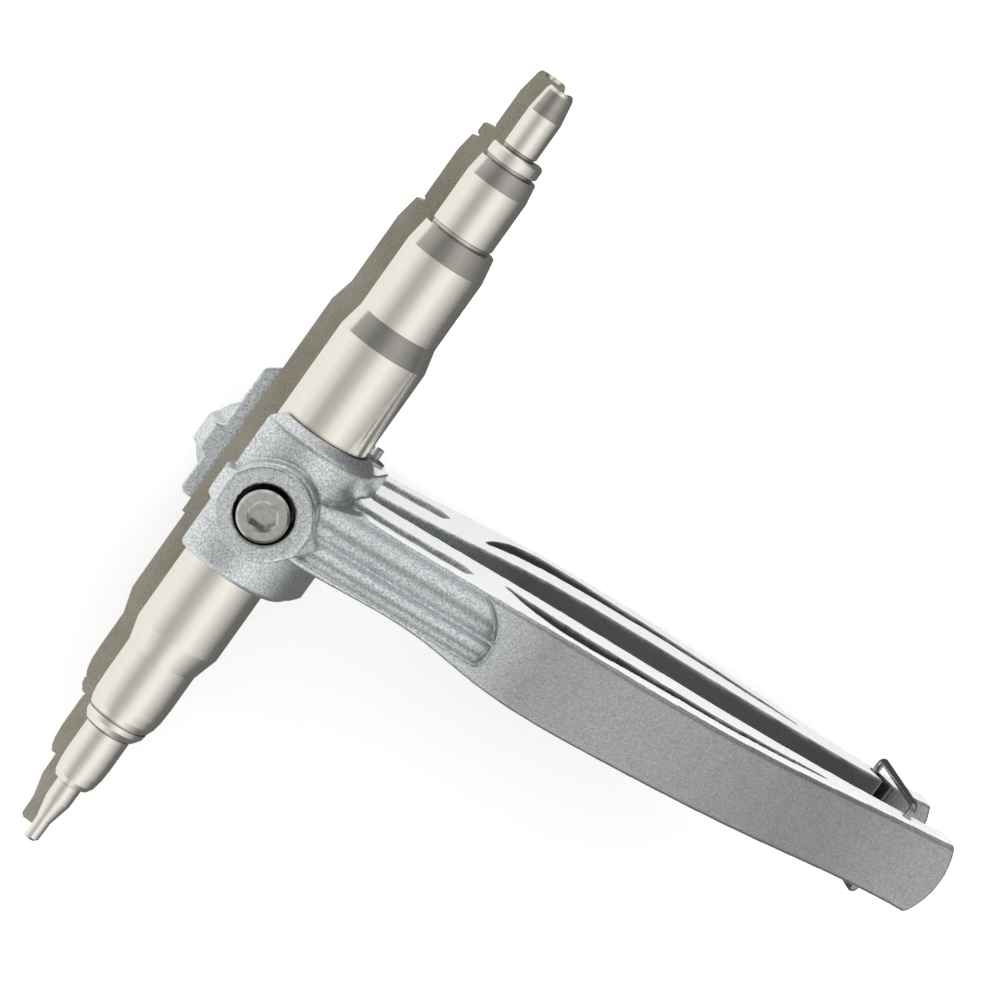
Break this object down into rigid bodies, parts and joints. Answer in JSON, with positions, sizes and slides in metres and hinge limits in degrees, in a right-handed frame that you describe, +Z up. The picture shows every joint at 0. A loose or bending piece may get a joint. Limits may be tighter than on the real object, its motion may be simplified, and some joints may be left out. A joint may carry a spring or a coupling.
{
  "type": "tube expander",
  "caption": "Two-handled tube expander: split stepped mandrel crosswise on hinged cast handles that spread its halves when squeezed, with a wire latch.",
  "frame": {"origin": "centre of the mandrel between its two halves, level with the two fixing screws, handles held together by the latch", "axes": "+X from the mandrel to the handle ends, +Y along the mandrel to its large-step end, +Z up through the upper handle; the tool lies on its lower handle"},
  "size_m": [0.1682, 0.1775, 0.0568],
  "materials": {
    "casting": "as-cast, fine sparkling grain, lightly rounded rims",
    "mandrel": "satin nickel plate on turned steel, wire-cut split faces",
    "screw": "bright plated socket-head screw",
    "washer": "plain steel",
    "pin": "ground steel",
    "wire": "bright spring wire"
  },
  "bodies": {
    "lower": {"lower_handle": "casting", "lower_half_mandrel": "mandrel", "lower_cap_screw": "screw", "lower_spring_washer": "washer", "hinge_pin": "pin", "pin_clip": "washer"},
    "upper": {"upper_handle": "casting", "upper_half_mandrel": "mandrel", "upper_cap_screw": "screw", "upper_spring_washer": "washer"},
    "bail": {"wire_bail": "wire"}
  },
  "joints": [
    {"name": "handle_hinge", "type": "hinge", "parent": "lower", "child": "upper", "pos_m": [0.0142, 0, 0], "axis": [0, -1, 0], "range_deg": [0, 38.4]},
    {"name": "bail_swing", "type": "hinge", "parent": "upper", "child": "bail", "pos_m": [0.1423, 0, 0.0104], "axis": [0, -1, 0], "range_deg": [0, 76.8]}
  ],
  "couplings": [
    {"joint": "bail_swing", "follows": "handle_hinge", "ratio": 2}
  ]
}
